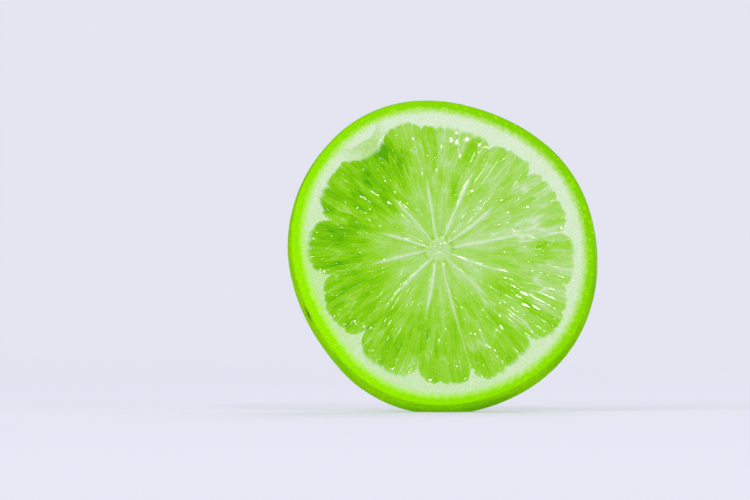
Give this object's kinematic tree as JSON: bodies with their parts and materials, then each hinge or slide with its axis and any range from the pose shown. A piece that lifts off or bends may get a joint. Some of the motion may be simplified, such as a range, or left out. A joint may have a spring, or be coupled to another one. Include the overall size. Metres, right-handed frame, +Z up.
{
  "type": "lime slice",
  "caption": "Thick round slice of lime standing on its rim, with skin, pith, core, membranes and juicy pulp on both cut faces.",
  "frame": {"origin": "middle of the slice's box at the level of the surface it stands on, inside the small flat spot on its rim", "axes": "+Z up; the front cut face looks along -Y and leans back by 7 degrees; +X is to the right as seen from the front"},
  "size_m": [0.0556, 0.0176, 0.0558],
  "materials": {
    "lime": "moist",
    "rind": "semi-gloss",
    "pulp": "wet",
    "pith": "moist"
  },
  "bodies": {
    "root": {"lime_slice": "lime"}
  },
  "joints": []
}
